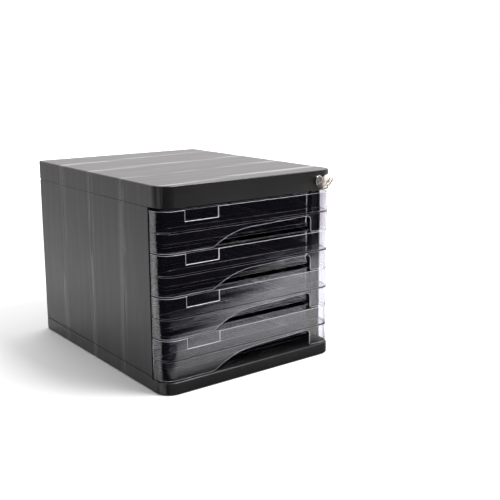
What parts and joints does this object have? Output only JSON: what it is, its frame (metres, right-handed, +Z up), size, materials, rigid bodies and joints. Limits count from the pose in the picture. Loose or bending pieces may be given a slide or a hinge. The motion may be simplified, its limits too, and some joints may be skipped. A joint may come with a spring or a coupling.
{
  "type": "desktop file drawer",
  "caption": "Desktop cabinet of stacked smoky clear A4 drawers in a dark case with rounded front corners, locked by one key in the top cover.",
  "frame": {"origin": "centre of the case's footprint, in the plane of the foot pads", "axes": "+X to the right seen from the front, +Y from the front to the rear, +Z up"},
  "size_m": [0.265, 0.3588, 0.25],
  "materials": {
    "case": "satin, faint flow streaks",
    "smoky_clear": "gloss, transparent",
    "inner_plastic": "matte",
    "foot_rubber": "matte",
    "zinc_steel": "zinc plated",
    "lock_chrome": "polished",
    "plug_nickel": "satin",
    "brass": "plain",
    "key_nickel": "worn nickel"
  },
  "bodies": {
    "case": {"base": "case", "feet": "foot_rubber", "base_screws": "zinc_steel", "left_side_panel": "case", "right_side_panel": "case", "back_panel": "case", "top_cover": "case", "lock_housing": "lock_chrome", "lock_washer": "zinc_steel", "lock_nut": "zinc_steel", "lock_bar_channel": "inner_plastic"},
    "plug": {"lock_plug": "plug_nickel", "lock_wafers": "brass", "lock_cam": "zinc_steel", "cam_screw": "zinc_steel"},
    "lock_bar": {"lock_bar": "inner_plastic"},
    "key": {"key": "key_nickel"},
    "drawer_1": {"drawer_1": "smoky_clear"},
    "drawer_2": {"drawer_2": "smoky_clear"},
    "drawer_3": {"drawer_3": "smoky_clear"},
    "drawer_4": {"drawer_4": "smoky_clear"}
  },
  "joints": [
    {"name": "drawer_1_slide", "type": "slide", "parent": "case", "child": "drawer_1", "axis": [0, -1, 0], "range_m": [0, 0.255]},
    {"name": "drawer_2_slide", "type": "slide", "parent": "case", "child": "drawer_2", "axis": [0, -1, 0], "range_m": [0, 0.255]},
    {"name": "drawer_3_slide", "type": "slide", "parent": "case", "child": "drawer_3", "axis": [0, -1, 0], "range_m": [0, 0.255]},
    {"name": "drawer_4_slide", "type": "slide", "parent": "case", "child": "drawer_4", "axis": [0, -1, 0], "range_m": [0, 0.255]},
    {"name": "lock_turn", "type": "hinge", "parent": "case", "child": "plug", "pos_m": [0.104, -0.1675, 0.23715], "axis": [0, 1, 0], "range_deg": [0, 90]},
    {"name": "lock_bar_slide", "type": "slide", "parent": "case", "child": "lock_bar", "axis": [0, 0, -1], "range_m": [0, 0.0114]},
    {"name": "key_pull", "type": "slide", "parent": "plug", "child": "key", "axis": [0, -1, 0], "range_m": [0, 0.02]}
  ],
  "couplings": [
    {"joint": "lock_bar_slide", "follows": "lock_turn", "m_per_rad": 0.0072}
  ]
}
